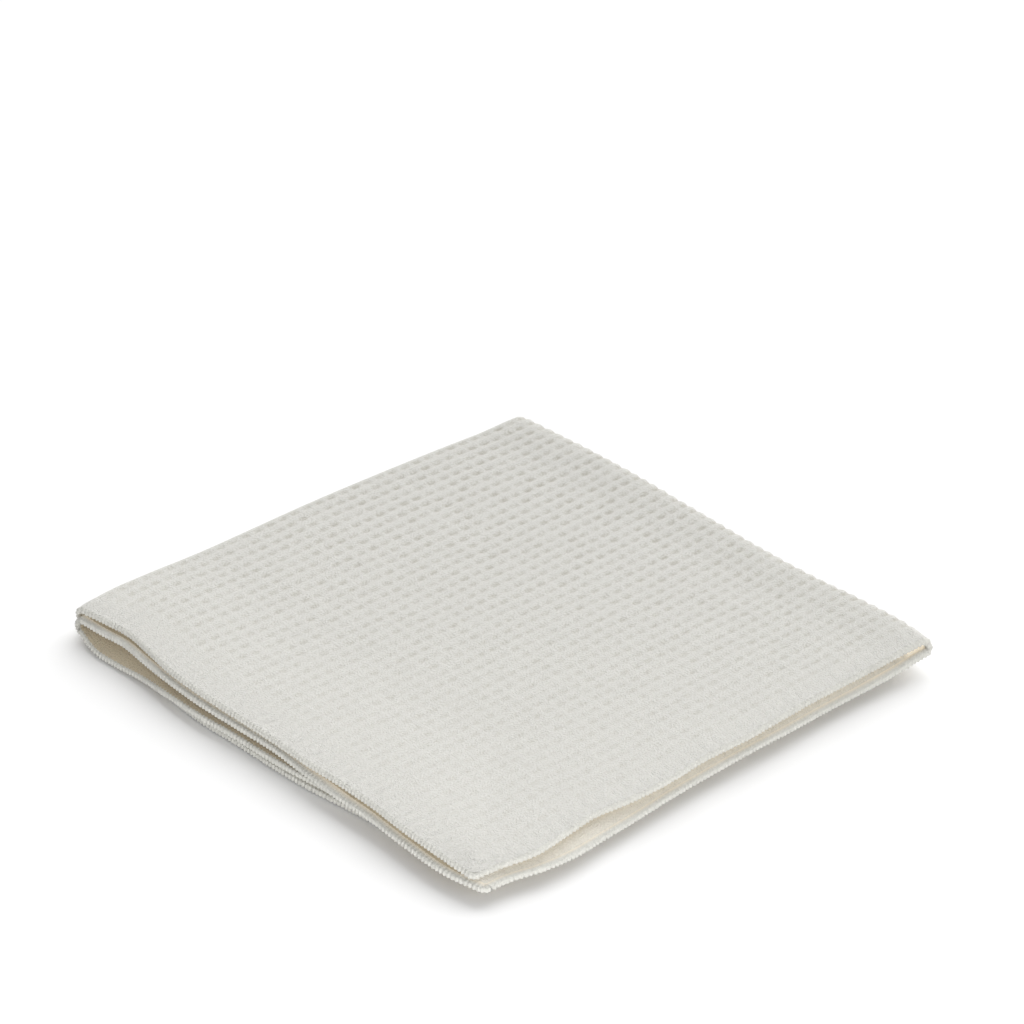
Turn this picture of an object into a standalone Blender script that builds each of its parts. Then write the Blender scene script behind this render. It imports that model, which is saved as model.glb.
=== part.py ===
"""A hemmed waffle-weave glass cloth, folded into quarters and lying flat.

The cloth is one sheet. Its first fold is the hairpin along the far side, +Y, where layer 1 turns
under into layer 2. The doubled cloth then turns over along the left side, -X, so that layer 1 runs
round into layer 4, at the bottom, and layer 2 runs round inside it into layer 3. The four corners
of the cloth lie on each other at the near right. X runs from the second fold to the free hems,
Y from the free hems to the first fold, and Z is up from the surface that the cloth lies on.
"""
import bpy
import numpy as np

# Driving dimensions, in metres
FOLDED_LENGTH = 0.2000   # from the second fold to the free hems at +X, half the cloth
FOLDED_WIDTH = 0.1944    # from the first fold to the free hems at -Y, half the cloth
BODY_THICKNESS = 0.0020  # the waffle weave from crest to crest
HEM_THICKNESS = 0.0026   # the overlocked edge
HEM_FULL = 0.0030        # the overlocked edge is this thick from its rim in to here
HEM_END = 0.0068         # and has thinned to the weave here
LAYER_GAP = 0.0004       # the least space between two layers
CORNER_RADIUS = 0.0030   # the cloth's own corners
FOLD_PUFF = 0.0006       # how much a pair of layers stands open at the first fold
PUFF_REACH = 0.020       # how far in from the first fold that opening dies out
LIFT_FULL = 0.005        # the thicker hems hold the layers apart from their rims in to here
LIFT_END = 0.055         # and no longer do so here
SLIP_REACH = 0.060       # how far in from a hem the layers' uneven edges die out
FREE_MARGIN = 0.0005     # an edge starts to sag this far inside the rim of the layer under it
FREE_LEAST = 0.003       # and bends over this length or more
MM = 0.001

# Mesh density
RUN_STEPS = 16           # along each flat run, from a fold to the first hem mark
HEM_MARKS = (0.0135, HEM_END, HEM_FULL, 0.0)
TURN_STEPS = 8           # round the second fold
HAIRPIN_STEPS = 6        # round the first fold

# The near free edges, at -Y. Each row is one place along the edge, counted from the second fold.
# out: how far each layer's hem stands out of the straight line. sag: how far an unsupported hem
# hangs below its layer. All in millimetres.
EDGE_COLUMNS = ("from_fold", "out_1", "out_2", "out_3", "out_4", "sag_1", "sag_2", "sag_3")
NEAR_EDGE = (
    (0, -0.5, 0.6, 1.2, -3.0, 0.6, 1.0, 0.4),
    (10, -1.4, 0.7, 2.8, -4.5, 0.1, 0.4, 2.4),
    (22, -2.2, 0.1, 2.6, -4.0, 0.0, 0.0, 2.6),
    (35, -0.8, 1.2, 2.2, -2.5, 0.0, 0.0, 1.8),
    (50, 0.9, 2.0, 3.4, 0.8, 0.0, 0.0, 0.5),
    (65, 1.2, 2.4, 3.8, 2.2, 0.0, 0.0, 0.0),
    (85, 0.9, 1.7, 2.6, 1.7, 0.0, 0.0, 0.0),
    (102, 0.7, 1.2, 2.2, 1.6, 0.0, 0.0, 0.0),
    (120, 1.0, 2.1, 0.8, 0.7, 0.0, 0.4, 0.0),
    (136, 0.6, 2.3, -1.4, -1.2, 0.0, 1.0, 0.0),
    (150, 0.8, 2.2, -2.8, -2.4, 0.0, 1.2, 0.0),
    (167, 1.9, 3.2, -4.0, -3.8, 0.2, 1.4, 0.0),
    (184, 1.8, 3.4, -5.2, -5.0, 1.0, 1.8, 0.0),
    (200, 1.2, 0.4, -6.2, -6.0, 2.2, 2.2, 0.0),
)

# The right free edges, at +X, in the same way, counted from the first fold.
RIGHT_EDGE = (
    (0, -0.4, 1.2, -7.0, -7.5, 0.0, 0.6, 0.0),
    (14, -1.4, 0.6, -7.0, -7.5, 0.0, 1.8, 0.0),
    (32, -1.1, 0.4, -7.0, -7.5, 0.0, 2.2, 0.0),
    (50, -1.0, 0.6, -7.0, -7.5, 0.0, 2.2, 0.0),
    (66, -0.3, 1.5, -6.8, -7.3, 0.0, 1.8, 0.0),
    (84, 0.6, 1.9, -6.5, -7.0, 0.0, 1.6, 0.0),
    (100, 0.3, 2.2, -6.5, -7.0, 0.0, 2.0, 0.0),
    (118, 1.7, 3.1, -6.5, -7.0, 0.0, 2.1, 0.0),
    (134, 1.6, 4.3, -6.5, -7.0, 0.0, 2.4, 0.0),
    (148, 0.3, 5.2, -6.5, -7.0, 0.0, 2.5, 0.0),
    (160, 1.8, 6.4, -6.8, -7.2, 0.0, 2.2, 0.0),
    (173, 2.9, 5.8, -7.0, -7.4, 0.2, 1.8, 0.0),
    (186, -0.2, 2.9, -7.2, -7.6, 1.2, 1.9, 0.0),
    (194, -1.8, 2.5, -7.4, -7.8, 2.2, 2.2, 0.0),
)

# How open the hollow of the second fold is, between layers 2 and 3, in millimetres, counted from
# the fold: at the near hems, and at the far corner.
HOLLOW_COLUMNS = ("from_fold", "near", "far")
HOLLOW = (
    (0, 1.3, 1.0),
    (25, 1.3, 0.8),
    (50, 0.6, 0.4),
    (80, 0.1, 0.1),
    (120, 0.0, 0.0),
    (200, 0.0, 0.0),
)

# How far each fold stands out of its straight line, in millimetres: the second fold, at -X,
# counted from the first, and the first fold, at +Y, counted from the second.
FOLD_COLUMNS = ("from_fold", "out")
SECOND_FOLD = (
    (0, -1.2),
    (25, 0.4),
    (60, 1.9),
    (85, 2.3),
    (130, 1.6),
    (165, 1.1),
    (185, -0.2),
    (194, -1.2),
)
FIRST_FOLD = (
    (0, -1.8),
    (22, -0.4),
    (50, 0.6),
    (90, -0.2),
    (125, -1.2),
    (165, -0.5),
    (188, -1.6),
    (200, -3.2),
)

CLOTH_RGBA = (0.79, 0.78, 0.74, 1.0)
CLOTH_ROUGHNESS = 0.9


def smooth(value):
    """0 below 0, 1 above 1, and a soft rise between them."""
    value = np.clip(value, 0.0, 1.0)
    return value * value * (3.0 - 2.0 * value)


def fade(distance, full, end):
    """1 out to the distance full, then a soft fall to 0 at end."""
    return smooth((end - distance) / (end - full))


def column(table, names, name):
    return np.array([row[names.index(name)] for row in table], float) * MM


def read(table, names, name, at):
    """A named column of a table, read along a smooth curve through its rows."""
    marks = column(table, names, "from_fold")
    values = column(table, names, name)
    slopes = np.gradient(values, marks)
    at = np.clip(at, marks[0], marks[-1])
    row = np.clip(np.searchsorted(marks, at, side="right") - 1, 0, len(marks) - 2)
    span = marks[row + 1] - marks[row]
    part = (at - marks[row]) / span
    rise = smooth(part)
    leave = part * (1.0 - part) ** 2 * span * slopes[row]
    arrive = part ** 2 * (part - 1.0) * span * slopes[row + 1]
    return values[row] * (1.0 - rise) + values[row + 1] * rise + leave + arrive


def stations(width, turn_steps):
    """Places across the doubled sheet: (flat run from 0 at the fold to 1 at the hem, turn angle)."""
    hem = 1.0 - np.array(HEM_MARKS) / width
    run = np.concatenate([np.linspace(0.0, hem[0], RUN_STEPS), hem[1:]])
    turn = np.linspace(-0.5, 0.5, turn_steps + 1) * np.pi
    runs = np.concatenate([run[:0:-1], np.zeros(turn_steps + 1), run[1:]])
    turns = np.concatenate([np.full(len(run) - 1, turn[0]), turn, np.full(len(run) - 1, turn[-1])])
    return runs, turns


def round_corner(from_right, from_near):
    """Distances from the two hems, with the square corner between them rounded."""
    u = np.clip(1.0 - from_right / CORNER_RADIUS, 0.0, 1.0)
    v = np.clip(1.0 - from_near / CORNER_RADIUS, 0.0, 1.0)
    shift_u = (u - u * np.sqrt(1.0 - 0.5 * v * v)) * CORNER_RADIUS
    shift_v = (v - v * np.sqrt(1.0 - 0.5 * u * u)) * CORNER_RADIUS
    return from_right + shift_u, from_near + shift_v


def layer_heights(along, across):
    """The middle of each of the four layers over a flat place, all as if none sagged."""
    from_right = FOLDED_LENGTH - along
    from_near = FOLDED_WIDTH - across
    hem_reach = np.minimum(from_right, from_near)
    lift = (HEM_THICKNESS - BODY_THICKNESS) * fade(hem_reach, LIFT_FULL, LIFT_END)
    puff = FOLD_PUFF * fade(across, 0.0, PUFF_REACH)
    near = smooth(across / FOLDED_WIDTH)
    hollow = (read(HOLLOW, HOLLOW_COLUMNS, "near", along) * near
              + read(HOLLOW, HOLLOW_COLUMNS, "far", along) * (1.0 - near))
    step = BODY_THICKNESS + LAYER_GAP + lift
    layer_3 = 0.5 * (BODY_THICKNESS + lift) + step + puff
    layer_2 = layer_3 + step + hollow
    layer_1 = layer_2 + step + puff
    return layer_1, layer_2, layer_3


def thickness(along, across):
    """The sheet's own thickness: the body's, or the overlocked edge's at a hem."""
    hem_reach = np.minimum(FOLDED_LENGTH - along, FOLDED_WIDTH - across)
    return BODY_THICKNESS + (HEM_THICKNESS - BODY_THICKNESS) * fade(hem_reach, HEM_FULL, HEM_END)


def slip(out, distance):
    """An uneven edge's step out of line, dying away into the cloth."""
    return out * fade(distance, 0.0, SLIP_REACH)


def cloth_point(run_x, turn_x, run_y, turn_y):
    """The middle of the sheet, for each place of a grid, as x, y and z arrays."""
    from_right, from_near = round_corner((1.0 - run_x) * FOLDED_LENGTH, (1.0 - run_y) * FOLDED_WIDTH)
    along = FOLDED_LENGTH - from_right
    across = FOLDED_WIDTH - from_near
    upper = 0.5 * (1.0 + np.sin(turn_x))
    outer = 0.5 * (1.0 + np.sin(turn_y))
    lower, inner = 1.0 - upper, 1.0 - outer
    share = {1: upper * outer, 2: upper * inner, 3: lower * inner, 4: lower * outer}

    def mixed(table, at):
        return sum(share[layer] * read(table, EDGE_COLUMNS, f"out_{layer}", at) for layer in share)

    layer_1, layer_2, layer_3 = layer_heights(along, across)
    layer_4 = 0.5 * thickness(along, across)

    def free_length(table, at):
        """How far in from the edge the cloth hangs free of what lies under it."""
        out_2, out_3, out_4 = (read(table, EDGE_COLUMNS, f"out_{layer}", at) for layer in (2, 3, 4))
        return np.maximum(np.maximum(out_2 - out_3, out_3 - out_4) + FREE_MARGIN, FREE_LEAST)

    free_right, free_near = free_length(RIGHT_EDGE, across), free_length(NEAR_EDGE, along)

    def sag(layer):
        right = read(RIGHT_EDGE, EDGE_COLUMNS, f"sag_{layer}", across) * fade(from_right, 0.0, free_right)
        near = read(NEAR_EDGE, EDGE_COLUMNS, f"sag_{layer}", along) * fade(from_near, 0.0, free_near)
        return np.maximum(right, near)

    layer_1 = layer_1 - sag(1)
    layer_2 = layer_2 - sag(2)
    layer_3 = layer_3 - sag(3)

    # The doubled cloth's middle goes round the second fold, and each layer lies off it by half its step
    upper_middle, upper_half = 0.5 * (layer_1 + layer_2), 0.5 * (layer_1 - layer_2)
    lower_middle, lower_half = 0.5 * (layer_3 + layer_4), 0.5 * (layer_3 - layer_4)
    half = upper_half * upper + lower_half * lower
    turn_radius = 0.5 * (upper_middle - lower_middle)
    middle = 0.5 * (upper_middle + lower_middle)
    radius = turn_radius + half * np.sin(turn_y)
    axis_x = turn_radius + half + 0.5 * BODY_THICKNESS
    x = axis_x - radius * np.cos(turn_x) + along * (1.0 - axis_x / FOLDED_LENGTH)
    x = x + slip(mixed(RIGHT_EDGE, across), from_right)
    x = x - slip(read(SECOND_FOLD, FOLD_COLUMNS, "out", across), along)
    z = middle + radius * np.sin(turn_x)
    axis_y = half + 0.5 * BODY_THICKNESS
    y = -axis_y + half * np.cos(turn_y) - across * (1.0 - axis_y / FOLDED_WIDTH)
    y = y - slip(mixed(NEAR_EDGE, along), from_near)
    y = y + slip(read(FIRST_FOLD, FOLD_COLUMNS, "out", along), across)
    return x, y, z


def cloth_material():
    material = bpy.data.materials.new("waffle_cotton")
    material.use_nodes = True
    surface = material.node_tree.nodes["Principled BSDF"]
    surface.inputs["Base Color"].default_value = CLOTH_RGBA
    surface.inputs["Roughness"].default_value = CLOTH_ROUGHNESS
    surface.inputs["Metallic"].default_value = 0.0
    material.diffuse_color = CLOTH_RGBA
    return material


def folded_cloth(collection):
    """A flat grid, with one column and row for each place across the sheet, bent into its folds."""
    runs_x, turns_x = stations(FOLDED_LENGTH, TURN_STEPS)
    runs_y, turns_y = stations(FOLDED_WIDTH, HAIRPIN_STEPS)
    columns, rows = len(runs_x), len(runs_y)
    bpy.ops.mesh.primitive_grid_add(x_subdivisions=columns - 1, y_subdivisions=rows - 1, size=2.0)
    cloth = bpy.context.object
    cloth.name = "glass_cloth"
    cloth.data.name = "glass_cloth"
    flat = np.array([vertex.co for vertex in cloth.data.vertices])
    i = np.rint((flat[:, 0] + 1.0) * 0.5 * (columns - 1)).astype(int)
    j = np.rint((flat[:, 1] + 1.0) * 0.5 * (rows - 1)).astype(int)
    points = np.stack(cloth_point(runs_x[i], turns_x[i], runs_y[j], turns_y[j]), axis=1)
    cloth.data.vertices.foreach_set("co", points.ravel())
    cloth.data.update()

    local = thickness(runs_x[i] * FOLDED_LENGTH, runs_y[j] * FOLDED_WIDTH) / HEM_THICKNESS
    group = cloth.vertex_groups.new(name="thickness")
    for index, weight in enumerate(local):
        group.add([index], float(weight), "REPLACE")
    shell = cloth.modifiers.new("cloth_thickness", "SOLIDIFY")
    shell.thickness = HEM_THICKNESS
    shell.offset = 0.0
    shell.vertex_group = group.name
    cloth.data.materials.append(cloth_material())
    cloth.data.shade_smooth()
    for other in cloth.users_collection:
        other.objects.unlink(cloth)
    collection.objects.link(cloth)
    return cloth


def stand_on_origin(cloth):
    """Moves the mesh so that the origin is the middle of the base of the finished cloth."""
    bpy.context.view_layer.update()
    finished = cloth.evaluated_get(bpy.context.evaluated_depsgraph_get())
    corners = np.array(finished.bound_box)
    low, high = corners.min(axis=0), corners.max(axis=0)
    points = np.array([vertex.co for vertex in cloth.data.vertices])
    points -= [0.5 * (low[0] + high[0]), 0.5 * (low[1] + high[1]), low[2]]
    cloth.data.vertices.foreach_set("co", points.ravel())
    cloth.data.update()


for leftover in list(bpy.data.objects):
    bpy.data.objects.remove(leftover, do_unlink=True)
glass_cloth_collection = bpy.data.collections.new("glass_cloth")
bpy.context.scene.collection.children.link(glass_cloth_collection)
stand_on_origin(folded_cloth(glass_cloth_collection))
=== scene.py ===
"""A quarter-folded waffle-weave glass cloth with overlocked hems, photographed on a pale table."""
from math import cos, pi, radians, sin

import bmesh
import bpy
import numpy as np
from mathutils import Matrix, Vector


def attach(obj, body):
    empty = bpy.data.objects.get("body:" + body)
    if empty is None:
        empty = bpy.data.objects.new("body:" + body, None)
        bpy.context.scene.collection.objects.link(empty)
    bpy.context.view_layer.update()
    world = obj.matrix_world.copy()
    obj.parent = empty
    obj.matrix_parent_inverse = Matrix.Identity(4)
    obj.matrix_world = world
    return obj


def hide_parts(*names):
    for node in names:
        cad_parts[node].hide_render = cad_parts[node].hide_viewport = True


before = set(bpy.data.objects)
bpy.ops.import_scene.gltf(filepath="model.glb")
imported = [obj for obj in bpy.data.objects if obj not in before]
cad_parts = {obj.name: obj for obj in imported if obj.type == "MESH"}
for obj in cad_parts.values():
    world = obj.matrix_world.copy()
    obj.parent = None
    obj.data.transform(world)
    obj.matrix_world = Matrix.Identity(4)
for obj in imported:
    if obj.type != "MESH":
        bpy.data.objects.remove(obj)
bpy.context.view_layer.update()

# The camera
# A long lens on a stand, 48 degrees round from the front and 31 degrees above the table. It is aimed past the
# middle of the cloth, so that the cloth lies low in a square picture as it does in the photograph.
MM = 0.001
VIEW_ROUND = radians(48.24)
VIEW_UP = radians(30.545)
VIEW_DISTANCE = 1.46374
VIEW_TARGET = Vector((-51.80, 50.67, 10.0)) * MM
FOCAL_LENGTH = 154.69
SENSOR_WIDTH = 36.0
NEAREST_SEEN = 0.05
FARTHEST_SEEN = 50.0

backward = Vector((sin(VIEW_ROUND) * cos(VIEW_UP), -cos(VIEW_ROUND) * cos(VIEW_UP), sin(VIEW_UP)))
rightward = Vector((cos(VIEW_ROUND), sin(VIEW_ROUND), 0.0))
upward = backward.cross(rightward)
camera = bpy.data.objects.new("camera", bpy.data.cameras.new("camera"))
camera.data.lens = FOCAL_LENGTH
camera.data.sensor_width = SENSOR_WIDTH
camera.data.clip_start = NEAREST_SEEN
camera.data.clip_end = FARTHEST_SEEN
camera.matrix_world = (Matrix.Translation(VIEW_TARGET + backward * VIEW_DISTANCE)
                       @ Matrix((rightward, upward, backward)).transposed().to_4x4())
bpy.context.scene.collection.objects.link(camera)
bpy.context.scene.camera = camera

# The woven sheet
# Cotton in waffle weave, about 400 by 389 mm: long floats of soft yarn stand up as ridges round square hollows, on
# both faces, and each face's hollows lie behind the other's ridges. It is folded under along the far side, then over
# along the left side, so that its four corners lie on each other at the near right.
FOLDED_LENGTH = 200.0 * MM
FOLDED_WIDTH = 194.4 * MM
HALF_TURN_A = 7.1 * MM     # half the cloth's length in the turn of the second fold
HALF_TURN_B = 2.7 * MM     # and in the turn of the first
HALF_A = HALF_TURN_A + FOLDED_LENGTH
HALF_B = HALF_TURN_B + FOLDED_WIDTH
CORNER_RADIUS = 3.0 * MM
ORIGIN = np.array([-102.02, 98.81, 0.0]) * MM   # the corner where the two folds meet
BODY_THICKNESS = 2.0 * MM
HEM_THICKNESS = 2.6 * MM
HEM_FULL = 3.0 * MM        # the hem keeps its thickness from its rim in to here
HEM_END = 6.8 * MM         # and has thinned to the weave here
LAYER_GAP = 0.4 * MM
FOLD_PUFF = 0.6 * MM       # how much a pair of layers stands open at the first fold
PUFF_REACH = 20.0 * MM
LIFT_FULL = 5.0 * MM       # the thicker hems hold the layers apart from their rims in to here
LIFT_END = 55.0 * MM       # and no longer do so here
SLIP_REACH = 60.0 * MM     # how far in from a hem or a fold its unevenness dies out
FREE_MARGIN = 0.5 * MM     # an edge starts to sag this far inside the rim of the layer under it
FREE_LEAST = 3.0 * MM      # and bends over this length or more

# Limp cloth falls a little differently each time, so the tables give how far each layer's edge stands out or sags,
# in millimetres, at distances from a fold. Layer 1 is on top.
EDGE = ("from_fold", "out_1", "out_2", "out_3", "out_4", "sag_1", "sag_2", "sag_3")
NEAR_EDGE = (
    (0, -0.5, 0.6, 1.2, -3.0, 0.6, 1.0, 0.4),
    (10, -1.4, 0.7, 2.8, -4.5, 0.1, 0.4, 2.4),
    (22, -2.2, 0.1, 2.6, -4.0, 0.0, 0.0, 2.6),
    (35, -0.8, 1.2, 2.2, -2.5, 0.0, 0.0, 1.8),
    (50, 0.9, 2.0, 3.4, 0.8, 0.0, 0.0, 0.5),
    (65, 1.2, 2.4, 3.8, 2.2, 0.0, 0.0, 0.0),
    (85, 0.9, 1.7, 2.6, 1.7, 0.0, 0.0, 0.0),
    (102, 0.7, 1.2, 2.2, 1.6, 0.0, 0.0, 0.0),
    (120, 1.0, 2.1, 0.8, 0.7, 0.0, 0.4, 0.0),
    (136, 0.6, 2.3, -1.4, -1.2, 0.0, 1.0, 0.0),
    (150, 0.8, 2.2, -2.8, -2.4, 0.0, 1.2, 0.0),
    (167, 1.9, 3.2, -4.0, -3.8, 0.2, 1.4, 0.0),
    (184, 1.8, 3.4, -5.2, -5.0, 1.0, 1.8, 0.0),
    (200, 1.2, 0.4, -6.2, -6.0, 2.2, 2.2, 0.0),
)
RIGHT_EDGE = (
    (0, -0.4, 1.2, -7.0, -7.5, 0.0, 0.6, 0.0),
    (14, -1.4, 0.6, -7.0, -7.5, 0.0, 1.8, 0.0),
    (32, -1.1, 0.4, -7.0, -7.5, 0.0, 2.2, 0.0),
    (50, -1.0, 0.6, -7.0, -7.5, 0.0, 2.2, 0.0),
    (66, -0.3, 1.5, -6.8, -7.3, 0.0, 1.8, 0.0),
    (84, 0.6, 1.9, -6.5, -7.0, 0.0, 1.6, 0.0),
    (100, 0.3, 2.2, -6.5, -7.0, 0.0, 2.0, 0.0),
    (118, 1.7, 3.1, -6.5, -7.0, 0.0, 2.1, 0.0),
    (134, 1.6, 4.3, -6.5, -7.0, 0.0, 2.4, 0.0),
    (148, 0.3, 5.2, -6.5, -7.0, 0.0, 2.5, 0.0),
    (160, 1.8, 6.4, -6.8, -7.2, 0.0, 2.2, 0.0),
    (173, 2.9, 5.8, -7.0, -7.4, 0.2, 1.8, 0.0),
    (186, -0.2, 2.9, -7.2, -7.6, 1.2, 1.9, 0.0),
    (194, -1.8, 2.5, -7.4, -7.8, 2.2, 2.2, 0.0),
)
HOLLOW_NEAR = ((0, 1.3), (25, 1.3), (50, 0.6), (80, 0.1), (120, 0.0), (200, 0.0))
HOLLOW_FAR = ((0, 1.0), (25, 0.8), (50, 0.4), (80, 0.1), (120, 0.0), (200, 0.0))
SECOND_FOLD = ((0, -1.2), (25, 0.4), (60, 1.9), (85, 2.3), (130, 1.6), (165, 1.1), (185, -0.2), (194, -1.2))
FIRST_FOLD = ((0, -1.8), (22, -0.4), (50, 0.6), (90, -0.2), (125, -1.2), (165, -0.5), (188, -1.6), (200, -3.2))


def smooth(value):
    """A soft rise from 0 at 0 to 1 at 1."""
    value = np.clip(value, 0.0, 1.0)
    return value * value * (3.0 - 2.0 * value)


def fade(distance, full, end):
    """1 out to the distance full, then a soft fall to 0 at end."""
    return smooth((end - distance) / (end - full))


def read(table, at, column=1):
    """A column of a table, read along a smooth curve through its rows."""
    marks = np.array([row[0] for row in table]) * MM
    values = np.array([row[column] for row in table]) * MM
    slopes = np.gradient(values, marks)
    at = np.clip(at, marks[0], marks[-1])
    row = np.clip(np.searchsorted(marks, at, side="right") - 1, 0, len(marks) - 2)
    span = marks[row + 1] - marks[row]
    part = (at - marks[row]) / span
    rise = smooth(part)
    leave = part * (1.0 - part) ** 2 * span * slopes[row]
    arrive = part ** 2 * (part - 1.0) * span * slopes[row + 1]
    return values[row] * (1.0 - rise) + values[row + 1] * rise + leave + arrive


def lay(a, b):
    """Where places of the flat cloth come to lie, for the middle of its thickness. a and b are metres from the
    middle of the cloth. a is positive in the upper two layers, b in the outer two, layers 1 and 4."""
    turn_a = np.clip(a / HALF_TURN_A, -1.0, 1.0) * pi / 2
    turn_b = np.clip(b / HALF_TURN_B, -1.0, 1.0) * pi / 2
    along = np.maximum(np.abs(a) - HALF_TURN_A, 0.0)
    across = np.maximum(np.abs(b) - HALF_TURN_B, 0.0)
    from_right = FOLDED_LENGTH - along
    from_near = FOLDED_WIDTH - across
    hem_reach = np.minimum(from_right, from_near)

    lift = (HEM_THICKNESS - BODY_THICKNESS) * fade(hem_reach, LIFT_FULL, LIFT_END)
    puff = FOLD_PUFF * fade(across, 0.0, PUFF_REACH)
    nearness = smooth(across / FOLDED_WIDTH)
    hollow = read(HOLLOW_NEAR, along) * nearness + read(HOLLOW_FAR, along) * (1.0 - nearness)
    step = BODY_THICKNESS + LAYER_GAP + lift
    layer_4 = 0.5 * (BODY_THICKNESS + (HEM_THICKNESS - BODY_THICKNESS) * fade(hem_reach, HEM_FULL, HEM_END))
    layer_3 = 0.5 * (BODY_THICKNESS + lift) + step + puff
    layer_2 = layer_3 + step + hollow
    layer_1 = layer_2 + step + puff

    def free_length(table, at):
        """How far in from the edge the cloth hangs free of what lies under it."""
        out_2, out_3, out_4 = (read(table, at, EDGE.index(f"out_{layer}")) for layer in (2, 3, 4))
        return np.maximum(np.maximum(out_2 - out_3, out_3 - out_4) + FREE_MARGIN, FREE_LEAST)

    free_right, free_near = free_length(RIGHT_EDGE, across), free_length(NEAR_EDGE, along)

    def sag(layer):
        right = read(RIGHT_EDGE, across, EDGE.index(f"sag_{layer}")) * fade(from_right, 0.0, free_right)
        near = read(NEAR_EDGE, along, EDGE.index(f"sag_{layer}")) * fade(from_near, 0.0, free_near)
        return np.maximum(right, near)

    layer_1 = layer_1 - sag(1)
    layer_2 = layer_2 - sag(2)
    layer_3 = layer_3 - sag(3)

    upper, outer = 0.5 * (1.0 + np.sin(turn_a)), 0.5 * (1.0 + np.sin(turn_b))
    lower, inner = 1.0 - upper, 1.0 - outer
    share = {1: upper * outer, 2: upper * inner, 3: lower * inner, 4: lower * outer}

    def out(table, at):
        return sum(share[layer] * read(table, at, EDGE.index(f"out_{layer}")) for layer in share)

    upper_middle, upper_half = 0.5 * (layer_1 + layer_2), 0.5 * (layer_1 - layer_2)
    lower_middle, lower_half = 0.5 * (layer_3 + layer_4), 0.5 * (layer_3 - layer_4)
    half = upper_half * upper + lower_half * lower
    turn_radius = 0.5 * (upper_middle - lower_middle)
    radius = turn_radius + half * np.sin(turn_b)
    axis_x = turn_radius + half + 0.5 * BODY_THICKNESS
    axis_y = half + 0.5 * BODY_THICKNESS
    x = axis_x - radius * np.cos(turn_a) + along * (1.0 - axis_x / FOLDED_LENGTH)
    x = x + out(RIGHT_EDGE, across) * fade(from_right, 0.0, SLIP_REACH)
    x = x - read(SECOND_FOLD, across) * fade(along, 0.0, SLIP_REACH)
    y = -axis_y + half * np.cos(turn_b) - across * (1.0 - axis_y / FOLDED_WIDTH)
    y = y - out(NEAR_EDGE, along) * fade(from_near, 0.0, SLIP_REACH)
    y = y + read(FIRST_FOLD, along) * fade(across, 0.0, SLIP_REACH)
    z = 0.5 * (upper_middle + lower_middle) + radius * np.sin(turn_a)
    return np.stack([x, y, z], axis=-1) + ORIGIN


def face_side(a, b):
    """The direction that the cloth's face side looks in at those places, up in layer 1."""
    reach = 0.05 * MM
    across = lay(a, b + reach) - lay(a, b - reach)
    along = lay(a + reach, b) - lay(a - reach, b)
    normal = np.cross(across, along)
    return normal / np.linalg.norm(normal, axis=-1, keepdims=True)


# The weave's relief, as real depth. The loom leaves a plain strip inside each hem. Each hollow came out of the wash a
# little deeper or shallower than the next, and the rows wander.
CELLS_A = 41               # hollows along each flat run, 4.9 by 5.4 mm
CELLS_B = 36
TURN_CELLS_A = 3           # hollows in the turn of each fold
TURN_CELLS_B = 1
FINE_A, COARSE_A = 4, 2    # faces to a hollow, in the layers that show and in those that don't
FINE_B, COARSE_B = 3, 2
TURN_FACES = 4             # and in the turns
CREST = 1.0 * MM           # the ridges, up from the middle of the cloth
PLAIN_CREST = 0.80 * MM    # and the plain strips
HOLLOW_DEPTH = 0.86 * MM
DEPTH_SPREAD = 0.18        # how unequal the hollows are
MOST_CELLS = 128           # more than the hollows across the sheet
VALLEY_SHAPE = 1.4         # over 1, the hollows are narrower than the ridges along them
SADDLE = 0.30              # how low the ridges across stand beside the ridges along, as a share of a hollow's depth
FLATTER_NEAR = 0.66             # how much shallower the hollows are out at the near corner, which also gives them less painted shade there
FLATTER_SLOPE, FLATTER_START = 0.6, 0.1
FOLD_ROUND = (3.0 * MM, 10.0 * MM)     # out from the first fold, where they are still full and where no longer
TRIM = 1.3 * MM            # the woven edge ends this far inside the thread that is wrapped round it
PLAIN_RIGHT = (4.0 * MM, 11.0 * MM)    # where the plain strips end and the waffle is full, in from the rim
PLAIN_NEAR = (5.0 * MM, 17.0 * MM)
WANDER = 0.60 * MM         # how far the rows drift
WANDER_WAVES = 5
SHORTEST_WAVE, WAVE_STEP = 18.0, 14.0  # in millimetres
ROOM_STARTS, ROOM_FULL = 4.0 * MM, 12.0 * MM   # in from the first fold, where the room between the layers starts
HARD_EDGE = radians(75.0)

chance = np.random.default_rng(11)


def rows_of_weave(turn, flat, turn_cells, flat_cells, fine, coarse):
    """The mesh's rows across the sheet, as places in metres and as counts of hollows."""
    turned, ends = turn_cells / 2, turn_cells / 2 + flat_cells
    cells = np.concatenate([
        np.linspace(-turn_cells / 2 - flat_cells, -turned, flat_cells * coarse + 1)[:-1],
        np.linspace(-turned, turned, turn_cells * TURN_FACES + 1)[:-1],
        np.linspace(turned, ends, flat_cells * fine + 1),
    ])
    marks = [-turn_cells / 2 - flat_cells, -turned, turned, ends]
    return np.interp(cells, marks, [-turn - flat, -turn, turn, turn + flat]), cells


def wander(a, b, seed):
    """Soft waves, up to 1 high, that the rows of weave drift by."""
    turns = np.random.default_rng(seed).uniform(0.0, 2.0 * pi, (WANDER_WAVES, 2))
    waves = np.zeros(np.broadcast(a, b).shape)
    for count, (heading, phase) in enumerate(turns):
        length = (SHORTEST_WAVE + WAVE_STEP * count) * MM
        waves = waves + np.sin(2.0 * pi * (a * cos(heading) + b * sin(heading)) / length + phase)
    return waves / len(turns)


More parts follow.
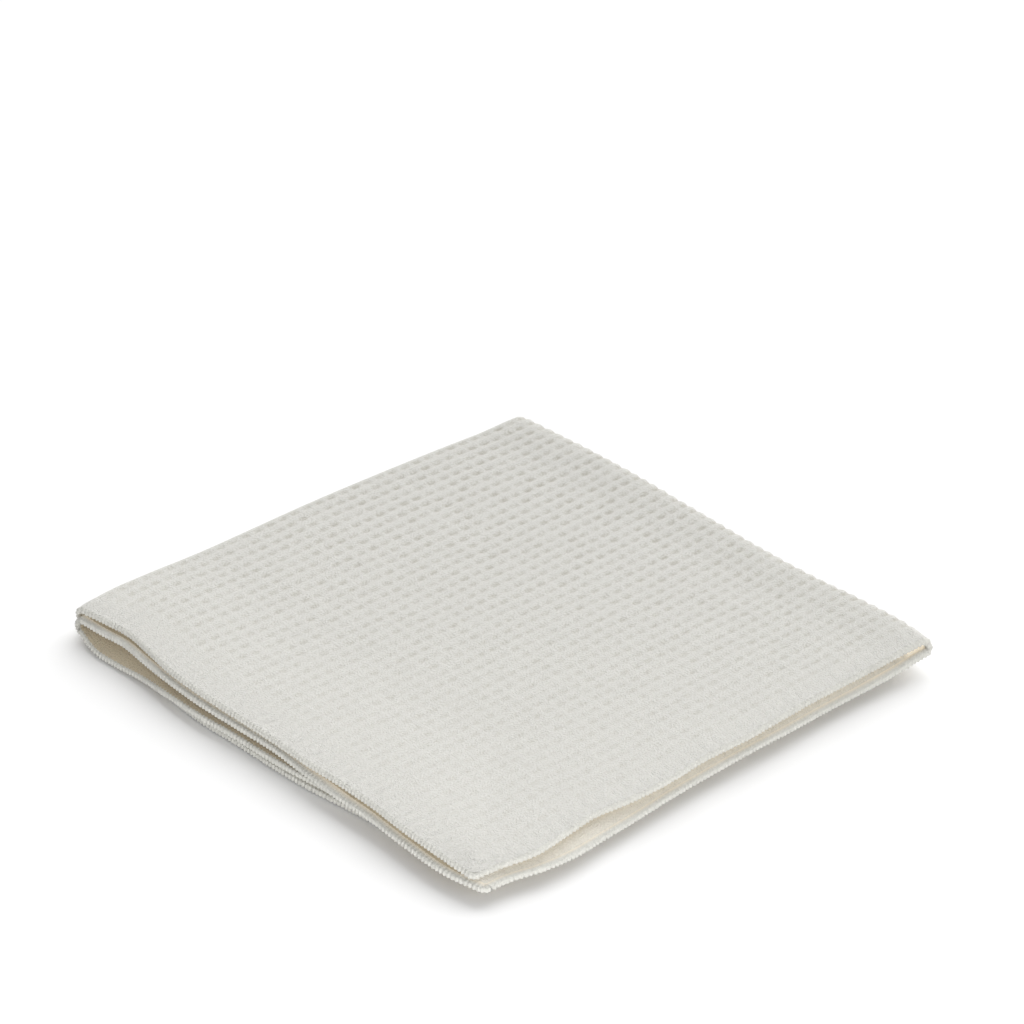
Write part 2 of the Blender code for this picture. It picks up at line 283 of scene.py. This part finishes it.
places_a, cells_a = rows_of_weave(HALF_TURN_A, FOLDED_LENGTH, TURN_CELLS_A, CELLS_A, FINE_A, COARSE_A)
places_b, cells_b = rows_of_weave(HALF_TURN_B, FOLDED_WIDTH, TURN_CELLS_B, CELLS_B, FINE_B, COARSE_B)
last_column, last_row = len(places_a) - 1, len(places_b) - 1

# A flat grid is given its wrong side, and each of its places is then folded
bm = bmesh.new()
bmesh.ops.create_grid(bm, x_segments=last_column, y_segments=last_row, size=1.0)
place = bm.verts.layers.float_vector.new("place")
for vertex in bm.verts:
    column = round((vertex.co.x + 1.0) / 2.0 * last_column)
    row = round((vertex.co.y + 1.0) / 2.0 * last_row)
    vertex[place] = (column, row, 0.0)
one_side = len(bm.verts)
bmesh.ops.solidify(bm, geom=bm.faces[:], thickness=1.0 * MM)
bm.verts.ensure_lookup_table()
for vertex in bm.verts[one_side:]:
    vertex[place] = (vertex[place][0], vertex[place][1], 1.0)
sheet_mesh = bpy.data.meshes.new("woven_sheet")
bm.to_mesh(sheet_mesh)
bm.free()

grid = np.zeros(len(sheet_mesh.vertices) * 3, np.float32)
sheet_mesh.attributes["place"].data.foreach_get("vector", grid)
grid = grid.reshape(-1, 3)
column, row, wrong_side = grid[:, 0].astype(int), grid[:, 1].astype(int), grid[:, 2]
a, b = places_a[column], places_b[row]

# The corners are rounded before the hem is sewn
from_right, from_near = HALF_A - np.abs(a), HALF_B - np.abs(b)
corner_a = np.clip(1.0 - from_right / CORNER_RADIUS, 0.0, 1.0)
corner_b = np.clip(1.0 - from_near / CORNER_RADIUS, 0.0, 1.0)
a = a - np.sign(a) * (corner_a - corner_a * np.sqrt(1.0 - 0.5 * corner_b * corner_b)) * CORNER_RADIUS
b = b - np.sign(b) * (corner_b - corner_b * np.sqrt(1.0 - 0.5 * corner_a * corner_a)) * CORNER_RADIUS
a, b = a * (1.0 - TRIM / HALF_A), b * (1.0 - TRIM / HALF_B)
plain_right = fade(from_right, *PLAIN_RIGHT)
plain_near = fade(from_near, *PLAIN_NEAR)
waffle = (1.0 - plain_right) * (1.0 - plain_near)
a = a + WANDER * waffle * wander(a, b, seed=3)
b = b + WANDER * waffle * wander(a, b, seed=4)

# Hollows of the wrong side lie half a hollow along from those of the face side
cell_a = cells_a[column] + 0.5 * wrong_side
cell_b = cells_b[row] + 0.5 * wrong_side
whole_a, whole_b = np.floor(cell_a), np.floor(cell_b)
depths = 1.0 + DEPTH_SPREAD * chance.uniform(-1.0, 1.0, (2, MOST_CELLS, MOST_CELLS))
outness = np.abs(a) / HALF_A + np.abs(b) / HALF_B
# The hollows grow shallower toward the near corner, and the painted shade in them weaker
depth_share = 1.0 - FLATTER_NEAR * smooth(FLATTER_SLOPE * outness - FLATTER_START)
depth_share = np.maximum(depth_share, fade(np.abs(b), *FOLD_ROUND))
depth = HOLLOW_DEPTH * depth_share * depths[wrong_side.astype(int), whole_a.astype(int), whole_b.astype(int)]
low_a = fade(np.abs(cell_a - whole_a - 0.5), 0.0, 0.5) ** VALLEY_SHAPE
low_b = fade(np.abs(cell_b - whole_b - 0.5), 0.0, 0.5)
sink = depth * low_a * (SADDLE + (1.0 - SADDLE) * low_b)
height = (CREST - sink) * waffle + PLAIN_CREST * (1.0 - waffle)
height = np.where(wrong_side > 0.5, -height, height)
points = lay(a, b) + face_side(a, b) * height[:, None]
sheet_mesh.vertices.foreach_set("co", points.astype(np.float32).ravel())
sheet_mesh.attributes.remove(sheet_mesh.attributes["place"])

# The material reads where each place lies in the weave, the strip that it is on, and whether it faces the room
# between two layers: 1 for the wrong side, 2 for both sides of the inner layers
# These tell the material where to paint shade, in the hollows and between the inner layers, and light on the wrong
# side
between = np.maximum(wrong_side, 2.0 * fade(b, -ROOM_FULL, -ROOM_STARTS))
stored = {"cells": (cell_a, cell_b, waffle * depth_share), "plain": (plain_right, plain_near, between)}
for name, values in stored.items():
    attribute = sheet_mesh.attributes.new(name, "FLOAT_VECTOR", "POINT")
    attribute.data.foreach_set("vector", np.stack(values, axis=1).astype(np.float32).ravel())
sheet_mesh.shade_smooth()
sheet_mesh.set_sharp_from_angle(angle=HARD_EDGE)
sheet_mesh.update()
woven_sheet = bpy.data.objects.new("woven_sheet", sheet_mesh)
bpy.context.scene.collection.objects.link(woven_sheet)


def linear(hex_colour):
    """An sRGB hex colour as the linear RGBA that shaders take."""
    parts = [int(hex_colour[k:k + 2], 16) / 255.0 for k in (1, 3, 5)]
    return tuple(p / 12.92 if p <= 0.04045 else ((p + 0.055) / 1.055) ** 2.4 for p in parts) + (1.0,)


def add(tree, kind, inputs=None, **settings):
    """Adds a shader node with its settings. inputs are values or other nodes' sockets, by name or number."""
    made = tree.nodes.new("ShaderNode" + kind)
    for name, value in settings.items():
        setattr(made, name, value)
    for name, value in (inputs or {}).items():
        if isinstance(value, bpy.types.NodeSocket):
            tree.links.new(value, made.inputs[name])
        else:
            made.inputs[name].default_value = value
    return made


# Washed waffle cotton: matt and slightly furry, warm off-white, with shade painted darker and warmer in the hollows.
# Pattern scales count from one hollow, 4.9 by 5.4 mm.
OUTSIDE_COLOUR = linear("#d3d2cd")
# painted light: the wrong side faces the room between two layers and is coloured lighter and warmer, as if lit there
WRONG_SIDE_PAINTED_LIGHT = linear("#f0eade")
# painted shade: both sides of the inner layers are coloured darker and warmer, and less so at the open right edge
DEEP_PAINTED_SHADE = linear("#c6bba3")       # both sides of the inner layers
MOUTH_PAINTED_SHADE = linear("#d6d2c8")      # the same at the free right edge, where the room between them opens
# painted shade, mixed in below over the hollows and between the yarns
HOLLOW_PAINTED_SHADE = linear("#a9a598")
NO_GLOW = linear("#000000")
WRONG_SIDE_GLOW = linear("#c8c1b3")
DEEP_GLOW = linear("#50473a")
MOUTH_GLOW = linear("#86827a")
GLOW_STRENGTH = 0.52       # stands in for daylight through the cotton, as told below
YARNS_TO_CELL = 6.0        # yarns 0.8 mm wide, drawn coarser than the real ones so that they show in the render
RIBS_TO_CELL = 5.0         # ribs of about 1 mm in the plain strips, drawn coarser too
YARN_BENDS = 3.0           # how far the yarns and ribs waver, in radians, with a hollow as one full turn
BENDS_TO_CELL = 3.0
FUZZ_TO_CELL = 7.0         # tufts of fluff of 0.7 mm
PATCHES_TO_CELL = 0.8      # patches that hold more or less shade, of about 6 mm
YARN_HEIGHT = 0.12         # of a yarn or a rib, against 1 for the fluff
RELIEF_HEIGHT = 0.35 * MM

waffle_cotton = bpy.data.materials.new("washed_waffle_cotton")
waffle_cotton.use_nodes = True
tree = waffle_cotton.node_tree
surface = tree.nodes["Principled BSDF"]
surface.inputs["Roughness"].default_value = 0.95
surface.inputs["Specular IOR Level"].default_value = 0.2
surface.inputs["Sheen Weight"].default_value = 0.15
surface.inputs["Sheen Roughness"].default_value = 0.6

cells = add(tree, "Attribute", attribute_name="cells").outputs["Vector"]
plain = add(tree, "Attribute", attribute_name="plain").outputs["Vector"]
waffle_full = add(tree, "SeparateXYZ", {0: cells}).outputs[2]
on_right, on_near, facing_room = add(tree, "SeparateXYZ", {0: plain}).outputs
turned = add(tree, "VectorMath", {0: cells, 1: (2 * pi, 2 * pi, 0.0)}, operation="MULTIPLY").outputs[0]
waves = add(tree, "VectorMath", {0: turned}, operation="COSINE").outputs[0]
lows = add(tree, "VectorMath", {0: waves, 1: (-0.5, -0.5, 0.0), 2: (0.5, 0.5, 0.0)},
           operation="MULTIPLY_ADD").outputs[0]
low_along, low_across = add(tree, "SeparateXYZ", {0: lows}).outputs[:2]
trough = add(tree, "MapRange", {"Value": low_along, "From Min": 0.25}).outputs[0]
length = add(tree, "MapRange", {"Value": low_across, "From Max": 0.7, "To Min": 0.15}).outputs[0]
both = add(tree, "Math", {0: trough, 1: length}, operation="MULTIPLY").outputs[0]
hollow_mask = add(tree, "Math", {0: both, 1: waffle_full}, operation="MULTIPLY").outputs[0]

# Yarns lie along each ridge, bent by the wash, with fluff over them
fur = add(tree, "TexNoise", {"Vector": cells, "Scale": BENDS_TO_CELL, "Detail": 3.0, "Roughness": 0.6},
          noise_dimensions="2D").outputs["Color"]
bent = add(tree, "VectorMath", {0: fur, 1: (YARN_BENDS, YARN_BENDS, 0.0), 2: turned},
           operation="MULTIPLY_ADD").outputs[0]
yarn_turns = add(tree, "VectorMath", {0: bent, 1: (YARNS_TO_CELL, YARNS_TO_CELL, 0.0)},
                 operation="MULTIPLY").outputs[0]
yarns = add(tree, "VectorMath", {0: yarn_turns}, operation="COSINE").outputs[0]
yarns_along, yarns_across = add(tree, "SeparateXYZ", {0: yarns}).outputs[:2]
lean = add(tree, "Math", {0: low_along, 1: low_across}, operation="SUBTRACT").outputs[0]
lean = add(tree, "MapRange", {"Value": lean, "From Min": -0.3, "From Max": 0.3}).outputs[0]
yarn = add(tree, "Mix", {"Factor": lean, "A": yarns_along, "B": yarns_across}, data_type="FLOAT").outputs[0]
fuzz = add(tree, "TexNoise", {"Vector": cells, "Scale": FUZZ_TO_CELL, "Detail": 2.0, "Roughness": 0.6},
           noise_dimensions="2D").outputs[0]
relief = add(tree, "Math", {0: yarn, 1: YARN_HEIGHT, 2: fuzz}, operation="MULTIPLY_ADD").outputs[0]

# The plain strips inside the hems are ribbed square to the edge
rib_turns = add(tree, "VectorMath", {0: bent, 1: (RIBS_TO_CELL, RIBS_TO_CELL, 0.0)},
                operation="MULTIPLY").outputs[0]
ribs = add(tree, "VectorMath", {0: rib_turns}, operation="COSINE").outputs[0]
ribs_near, ribs_right = add(tree, "SeparateXYZ", {0: ribs}).outputs[:2]
for strip, ribs_of_strip in ((on_right, ribs_right), (on_near, ribs_near)):
    rib = add(tree, "Math", {0: ribs_of_strip, 1: strip}, operation="MULTIPLY").outputs[0]
    relief = add(tree, "Math", {0: rib, 1: YARN_HEIGHT, 2: relief}, operation="MULTIPLY_ADD").outputs[0]
bump = add(tree, "Bump", {"Height": relief, "Strength": 1.0, "Distance": RELIEF_HEIGHT})
tree.links.new(bump.outputs[0], surface.inputs["Normal"])

# Painted shade where light sinks into the hollows and the gaps between the yarns; the crests of the long ridges catch
# it
patches = add(tree, "TexNoise", {"Vector": cells, "Scale": PATCHES_TO_CELL, "Detail": 1.0},
              noise_dimensions="2D").outputs[0]
uneven = add(tree, "MapRange", {"Value": patches, "From Min": 0.35, "From Max": 0.65,
                                "To Min": 0.3, "To Max": 0.6}).outputs[0]
shade = add(tree, "Math", {0: hollow_mask, 1: uneven}, operation="MULTIPLY").outputs[0]
grain = add(tree, "MapRange", {"Value": fuzz, "From Min": 0.35, "From Max": 0.65,
                               "To Min": -0.12, "To Max": 0.22}).outputs[0]
shade = add(tree, "Math", {0: shade, 1: grain}, operation="ADD").outputs[0]
outer_colour = add(tree, "Mix", {"Factor": facing_room, "A": OUTSIDE_COLOUR, "B": WRONG_SIDE_PAINTED_LIGHT},
                   data_type="RGBA").outputs["Result"]
# Painted shade on the inner layers, lighter where the room between them opens
inner_painted_shade = add(tree, "Mix", {"Factor": on_right, "A": DEEP_PAINTED_SHADE, "B": MOUTH_PAINTED_SHADE},
                   data_type="RGBA").outputs["Result"]
on_inner = add(tree, "Math", {0: facing_room, 1: 1.0}, operation="SUBTRACT", use_clamp=True).outputs[0]
crest = add(tree, "Mix", {"Factor": on_inner, "A": outer_colour, "B": inner_painted_shade},
            data_type="RGBA").outputs["Result"]
colour = add(tree, "Mix", {"Factor": shade, "A": crest, "B": HOLLOW_PAINTED_SHADE}, data_type="RGBA").outputs["Result"]
tree.links.new(colour, surface.inputs["Base Color"])

# Daylight comes through the cotton and gives the room between the layers a faint warm glow. The cloth is drawn as a
# closed skin that lets none through, so the glow is set here.
surface.inputs["Emission Strength"].default_value = GLOW_STRENGTH
outer_glow = add(tree, "Mix", {"Factor": facing_room, "A": NO_GLOW, "B": WRONG_SIDE_GLOW},
                 data_type="RGBA").outputs["Result"]
inner_glow = add(tree, "Mix", {"Factor": on_right, "A": DEEP_GLOW, "B": MOUTH_GLOW},
                 data_type="RGBA").outputs["Result"]
glow = add(tree, "Mix", {"Factor": on_inner, "A": outer_glow, "B": inner_glow}, data_type="RGBA").outputs["Result"]
tree.links.new(glow, surface.inputs["Emission Color"])
sheet_mesh.materials.append(waffle_cotton)

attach(woven_sheet, "root")
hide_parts("glass_cloth")

# The overlocked hem
# Three threads that an overlock machine wraps round the raw edge all the way about. They pull it into a firm
# rounded cord, and each stitch stands out as a tooth, about two to 3 mm.
HEM_PROFILE = (   # in from the rim, and off the middle of the cloth, in millimetres
    (4.0, 0.30), (3.0, 0.62), (2.1, 0.68), (1.5, 0.88), (0.7, 0.94), (0.15, 0.62), (0.0, 0.0),
    (0.12, -0.80), (0.5, -1.14), (1.3, -1.22), (2.2, -1.10), (3.0, -0.75), (4.0, -0.30),
)
STITCH_PITCH = 1.55 * MM
STEPS_IN_STITCH = 4
TOOTH = 0.45 * MM
TOOTH_SPREAD = 0.25        # how unequal the teeth are
TOOTH_SHAPE = 1.2          # over 1, the teeth are narrower than the dips between them
TOOTH_INSIDE = 0.15        # what is left of a tooth where the thread dives into the cloth
TOOTH_REACH = (0.8 * MM, 2.6 * MM)     # in from the rim, from its full size to what is left
TOOTH_OFF = 0.7            # how much it stands off the cloth, against 1 for out from the rim
FULLER_UNDER = 0.42        # the cord stands this much further out on the wrong side, near the first fold's loop
FULLER_REACH = (5.0 * MM, 40.0 * MM)   # out from the first fold, where it is fullest and where no longer
TIGHT_CORNER = 0.4         # the stitches draw together inside a rounded corner
UNDER_STARTS, UNDER_FULL = 1.2 * MM, 3.2 * MM  # in from the rim, where the hem faces the room between the layers
WELD = 0.001 * MM


def rim_of_cloth(steps):
    """Places round the rim of the flat cloth: a, b, the outward direction, and how near a corner each is. Also the
    length of the rim."""
    straight_a, straight_b = HALF_A - CORNER_RADIUS, HALF_B - CORNER_RADIUS
    arc = 0.5 * pi * CORNER_RADIUS
    sides = [2 * straight_b, 2 * straight_a] * 2
    marks = np.cumsum([0.0] + [part for side in sides for part in (side, arc)])
    at = np.linspace(0.0, marks[-1], steps + 1)
    found = np.zeros((steps + 1, 5))
    for quarter in range(4):
        heading = quarter * pi / 2
        out = np.array([cos(heading), sin(heading)])
        onward = np.array([-sin(heading), cos(heading)])
        offset = (HALF_A, HALF_B)[quarter % 2]
        half = (straight_b, straight_a)[quarter % 2]
        on_side = (at >= marks[2 * quarter]) & (at <= marks[2 * quarter + 1])
        run = at[on_side] - marks[2 * quarter] - half
        found[on_side, :2] = out * offset + onward * run[:, None]
        found[on_side, 2:4] = out
        on_arc = (at > marks[2 * quarter + 1]) & (at <= marks[2 * quarter + 2])
        angle = (at[on_arc] - marks[2 * quarter + 1]) / CORNER_RADIUS
        turned_out = np.stack([np.cos(heading + angle), np.sin(heading + angle)], axis=1)
        found[on_arc, :2] = out * (offset - CORNER_RADIUS) + onward * half + turned_out * CORNER_RADIUS
        found[on_arc, 2:4] = turned_out
        found[on_arc, 4] = np.sin(2 * angle)
    return found, marks[-1]


_, perimeter = rim_of_cloth(4)
stitches = round(perimeter / STITCH_PITCH)
steps = stitches * STEPS_IN_STITCH
rim, _ = rim_of_cloth(steps)
profile = np.array(HEM_PROFILE + HEM_PROFILE[:1]) * MM
last_point = len(profile) - 1

# A strip of faces runs round the rim, and each of its rows follows one point of the profile
bm = bmesh.new()
bmesh.ops.create_grid(bm, x_segments=steps, y_segments=last_point, size=1.0)
flat = np.array([vertex.co for vertex in bm.verts])
step = np.rint((flat[:, 0] + 1.0) / 2.0 * steps).astype(int)
point = np.rint((flat[:, 1] + 1.0) / 2.0 * last_point).astype(int)
inset, off = profile[point, 0], profile[point, 1]
facing_in = off < 0.0
roundness = np.stack([np.gradient(profile[:, 0]), np.gradient(profile[:, 1])], axis=1)
outward = np.stack([-roundness[:, 1], roundness[:, 0]], axis=1)
outward[0] = outward[-1] = (0.0, 0.0)
length = np.linalg.norm(outward, axis=1, keepdims=True)
outward = outward / np.where(length > 0.0, length, 1.0)
sizes = 1.0 + TOOTH_SPREAD * np.random.default_rng(5).uniform(-1.0, 1.0, stitches + 1)
sizes[-1] = sizes[0]
phase = step / STEPS_IN_STITCH
whole = np.floor(phase)
bulge = np.sin(pi * (phase - whole)) ** TOOTH_SHAPE * sizes[whole.astype(int)]
bulge = bulge * TOOTH * (TOOTH_INSIDE + (1.0 - TOOTH_INSIDE) * fade(inset, *TOOTH_REACH))
inset = inset + outward[point, 0] * bulge
off = off + outward[point, 1] * bulge * TOOTH_OFF
fuller = 1.0 + FULLER_UNDER * fade(np.abs(rim[step, 1]), *FULLER_REACH)
off = np.where(off < 0.0, off * fuller, off)
inset = np.where(inset > 0.0, inset * (1.0 - TIGHT_CORNER * rim[step, 4]), inset)
a = rim[step, 0] - rim[step, 2] * inset
b = rim[step, 1] - rim[step, 3] * inset
points = lay(a, b) + face_side(a, b) * off[:, None]
# Where the thread faces the room between the layers, its material paints shade and the glow
between = (facing_in | (b < 0.0)) * fade(-inset, -UNDER_FULL, -UNDER_STARTS)
thread = bm.verts.layers.float_vector.new("thread")
for vertex, co, values in zip(bm.verts, points, np.stack([phase, inset / MM, between], axis=1)):
    vertex.co = co
    vertex[thread] = values
bmesh.ops.remove_doubles(bm, verts=bm.verts[:], dist=WELD)
bmesh.ops.recalc_face_normals(bm, faces=bm.faces[:])
hem_mesh = bpy.data.meshes.new("overlocked_hem")
bm.to_mesh(hem_mesh)
bm.free()
hem_mesh.shade_smooth()
overlocked_hem = bpy.data.objects.new("overlocked_hem", hem_mesh)
bpy.context.scene.collection.objects.link(overlocked_hem)

# Soft spun cotton thread: matt, a shade whiter than the cloth, laid over the edge side by side and a little frayed.
# The fray's scale counts from one stitch along the rim and from 1 mm in from it.
THREAD_COLOUR = linear("#dad9d2")
# painted shade where the thread faces the room between the layers
THREAD_UNDER_PAINTED_SHADE = linear("#d6cfc1")
THREAD_UNDER_GLOW = linear("#c6bcab")  # the same daylight through the cotton as between the layers
FRAYS_TO_STITCH = 3.0
FRAY_HEIGHT = 0.5 * MM

hem_thread = bpy.data.materials.new("spun_cotton_thread")
hem_thread.use_nodes = True
tree = hem_thread.node_tree
surface = tree.nodes["Principled BSDF"]
surface.inputs["Roughness"].default_value = 0.9
surface.inputs["Specular IOR Level"].default_value = 0.25
surface.inputs["Sheen Weight"].default_value = 0.15
surface.inputs["Emission Strength"].default_value = GLOW_STRENGTH
stitch = add(tree, "Attribute", attribute_name="thread").outputs["Vector"]
facing_room = add(tree, "SeparateXYZ", {0: stitch}).outputs[2]
colour = add(tree, "Mix", {"Factor": facing_room, "A": THREAD_COLOUR, "B": THREAD_UNDER_PAINTED_SHADE},
             data_type="RGBA").outputs["Result"]
tree.links.new(colour, surface.inputs["Base Color"])
glow = add(tree, "Mix", {"Factor": facing_room, "A": NO_GLOW, "B": THREAD_UNDER_GLOW},
           data_type="RGBA").outputs["Result"]
tree.links.new(glow, surface.inputs["Emission Color"])
fray = add(tree, "TexNoise", {"Vector": stitch, "Scale": FRAYS_TO_STITCH, "Detail": 3.0},
           noise_dimensions="2D").outputs[0]
bump = add(tree, "Bump", {"Height": fray, "Strength": 0.9, "Distance": FRAY_HEIGHT})
tree.links.new(bump.outputs[0], surface.inputs["Normal"])
hem_mesh.materials.append(hem_thread)

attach(overlocked_hem, "root")
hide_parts("glass_cloth")

# The table top
# A wide board under the cloth, painted matt white. It has no gloss, and in this light it comes out pure white away
# from the cloth's shadow.
TABLE_HALF_WIDTH = 3.0
bm = bmesh.new()
bmesh.ops.create_grid(bm, x_segments=1, y_segments=1, size=TABLE_HALF_WIDTH)
table_mesh = bpy.data.meshes.new("table_top")
bm.to_mesh(table_mesh)
bm.free()
table_top = bpy.data.objects.new("table_top", table_mesh)
bpy.context.scene.collection.objects.link(table_top)
painted_board = bpy.data.materials.new("painted_board")
painted_board.use_nodes = True
surface = painted_board.node_tree.nodes["Principled BSDF"]
surface.inputs["Base Color"].default_value = linear("#f6f6f6")
surface.inputs["Roughness"].default_value = 1.0
surface.inputs["Specular IOR Level"].default_value = 0.0
table_mesh.materials.append(painted_board)

# The light
# A white tent round the table gives soft light from all sides. A wide window high behind the cloth on the right adds
# to it and throws the cloth's shadow forward, and a small panel low in front lifts the hems.
TENT_LIGHT = 0.48
WINDOW_LIGHT = 3.2              # watts to a square metre
WINDOW_WIDTH = radians(88.0)
WINDOW_PLACE = (37.0, 157.0)    # degrees above the table, and round from behind the camera
PANEL_LIGHT = 2.2               # watts
PANEL_WIDTH = 0.3               # metres
PANEL_PLACE = (15.0, 8.0)
PANEL_DISTANCE = 0.6
PANEL_AIM = Vector((0.1, -0.1, 0.005))    # the cloth's near corner

world = bpy.data.worlds.new("white_tent")
world.use_nodes = True
tent = world.node_tree.nodes["Background"]
tent.inputs["Color"].default_value = (1.0, 1.0, 1.0, 1.0)
tent.inputs["Strength"].default_value = TENT_LIGHT
bpy.context.scene.world = world
bpy.context.scene.view_settings.view_transform = "Standard"


def toward(height, side):
    """The way to a light: height is degrees above the table, side is degrees round from behind the camera."""
    up, round_about = radians(height), VIEW_ROUND + radians(side)
    return Vector((sin(round_about) * cos(up), -cos(round_about) * cos(up), sin(up)))


high_window = bpy.data.objects.new("high_window", bpy.data.lights.new("high_window", "SUN"))
high_window.data.energy = WINDOW_LIGHT
high_window.data.angle = WINDOW_WIDTH
high_window.rotation_euler = toward(*WINDOW_PLACE).to_track_quat("Z", "Y").to_euler()
bpy.context.scene.collection.objects.link(high_window)

low_panel = bpy.data.objects.new("low_panel", bpy.data.lights.new("low_panel", "AREA"))
low_panel.data.size = PANEL_WIDTH
low_panel.data.energy = PANEL_LIGHT
low_panel.visible_camera = False
low_panel.location = PANEL_AIM + toward(*PANEL_PLACE) * PANEL_DISTANCE
low_panel.rotation_euler = toward(*PANEL_PLACE).to_track_quat("Z", "Y").to_euler()
bpy.context.scene.collection.objects.link(low_panel)
